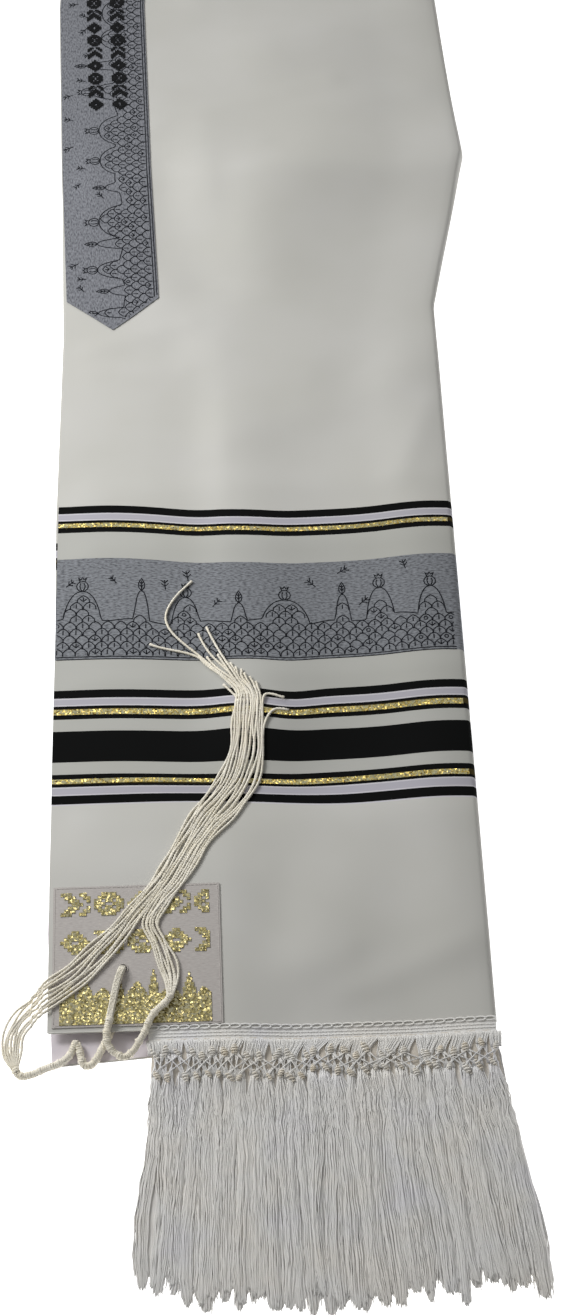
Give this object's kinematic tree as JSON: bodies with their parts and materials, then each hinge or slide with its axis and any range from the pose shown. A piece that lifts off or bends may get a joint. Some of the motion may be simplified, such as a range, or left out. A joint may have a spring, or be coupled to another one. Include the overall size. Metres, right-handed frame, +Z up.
{
  "type": "tallit prayer shawl",
  "caption": "Striped prayer shawl with pointed neck band, eyeleted corner patches, knotted hem fringes and corner tassels, folded once lengthwise and laid flat.",
  "frame": {"origin": "on the surface the folded shawl rests on, under the middle of the cloth", "axes": "+X across the folded shawl, from its free long edges to its fold; +Y along it, from the near hem to the far hem; +Z up"},
  "size_m": [0.3637, 2.195, 0.0209],
  "materials": {
    "shawl_wool": "soft off-white plain weave with black, lilac-white and gold stripes",
    "band_satin": "slubbed blue-grey satin with black woven ornament",
    "patch_satin": "pale lilac-grey satin with gold lurex ornament",
    "fringe_yarn": "white twisted yarn, knotted",
    "tassel_wool": "cream twisted wool strings"
  },
  "bodies": {
    "root": {"shawl_cloth": "shawl_wool", "neck_band": "band_satin", "patch_near_front": "patch_satin", "patch_near_under": "patch_satin", "patch_far_front": "patch_satin", "patch_far_under": "patch_satin", "fringe_near_front": "fringe_yarn", "fringe_near_under": "fringe_yarn", "fringe_far_front": "fringe_yarn", "fringe_far_under": "fringe_yarn", "tassel_near_front": "tassel_wool", "tassel_near_under": "tassel_wool", "tassel_far_front": "tassel_wool", "tassel_far_under": "tassel_wool"}
  },
  "joints": []
}
